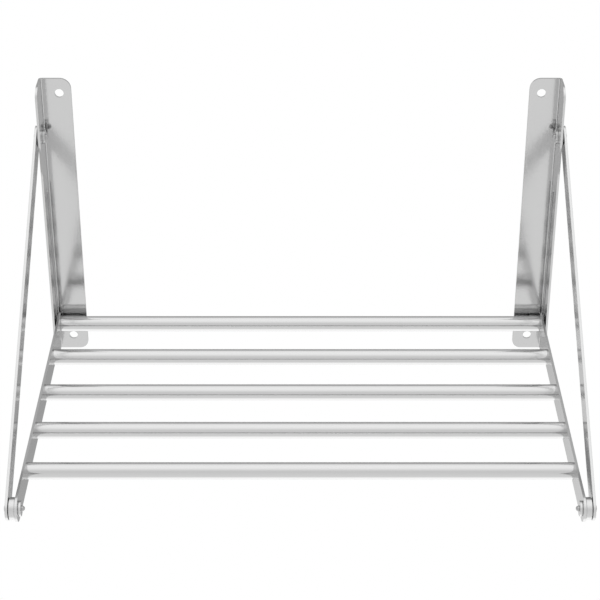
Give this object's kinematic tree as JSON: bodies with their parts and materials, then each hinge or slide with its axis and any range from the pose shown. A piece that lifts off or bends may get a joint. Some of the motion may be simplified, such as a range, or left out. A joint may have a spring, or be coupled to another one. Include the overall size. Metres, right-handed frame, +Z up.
{
  "type": "folding wall towel rack",
  "caption": "Wall-mounted folding towel and drying rack: round steel bars between flat arms, held level by slanting flat stays on slotted angle brackets; it folds down flat against the wall.",
  "frame": {"origin": "midway between the two upper wall holes, on the wall plane", "axes": "+X to the right as seen from the room, +Y into the wall, +Z up"},
  "size_m": [0.6316, 0.4206, 0.368],
  "materials": {
    "bracket_steel": "polished stainless sheet",
    "flat_bar_steel": "polished stainless flat bar",
    "tube_steel": "polished stainless tube",
    "hardware_steel": "bright turned steel",
    "bush_acetal": "moulded acetal"
  },
  "bodies": {
    "wall_brackets": {"bracket_left": "bracket_steel", "upper_pin_left": "hardware_steel", "upper_spacer_left": "hardware_steel", "upper_washer_left": "hardware_steel", "bracket_right": "bracket_steel", "upper_pin_right": "hardware_steel", "upper_spacer_right": "hardware_steel", "upper_washer_right": "hardware_steel"},
    "sliding_rear_bar": {"rear_bar": "tube_steel", "rear_bush_left": "bush_acetal", "guide_pin_left": "hardware_steel", "stop_plug_left": "hardware_steel", "glide_washer_left": "bush_acetal", "rear_bush_right": "bush_acetal", "guide_pin_right": "hardware_steel", "stop_plug_right": "hardware_steel", "glide_washer_right": "bush_acetal"},
    "folding_rack": {"bar_2": "tube_steel", "bar_3": "tube_steel", "bar_4": "tube_steel", "bar_5": "tube_steel", "bar_end_plugs": "hardware_steel", "bar_screws": "hardware_steel", "arm_left": "flat_bar_steel", "front_pin_left": "hardware_steel", "front_spacer_left": "hardware_steel", "front_washer_left": "hardware_steel", "arm_right": "flat_bar_steel", "front_pin_right": "hardware_steel", "front_spacer_right": "hardware_steel", "front_washer_right": "hardware_steel"},
    "stay_body_left": {"stay_left": "flat_bar_steel", "upper_cap_left": "hardware_steel"},
    "stay_body_right": {"stay_right": "flat_bar_steel", "upper_cap_right": "hardware_steel"}
  },
  "joints": [
    {"name": "rear_bar_slide", "type": "slide", "parent": "wall_brackets", "child": "sliding_rear_bar", "axis": [0, 0, 1], "range_m": [-0.0001, 0.17999]},
    {"name": "rack_fold", "type": "hinge", "parent": "sliding_rear_bar", "child": "folding_rack", "pos_m": [0, -0.0173, -0.306], "axis": [1, 0, 0], "range_deg": [0, 90]},
    {"name": "stay_fold_left", "type": "hinge", "parent": "folding_rack", "child": "stay_body_left", "pos_m": [0, -0.4064, -0.306], "axis": [1, 0, 0], "range_deg": [-33.55, 0.1]},
    {"name": "stay_fold_right", "type": "hinge", "parent": "folding_rack", "child": "stay_body_right", "pos_m": [0, -0.4064, -0.306], "axis": [1, 0, 0], "range_deg": [-33.55, 0.1]}
  ],
  "couplings": [
    {"joint": "rear_bar_slide", "follows": "rack_fold", "m_per_rad": 0.11446},
    {"joint": "stay_fold_left", "follows": "rack_fold", "ratio": -0.37161},
    {"joint": "stay_fold_right", "follows": "rack_fold", "ratio": -0.37161}
  ]
}
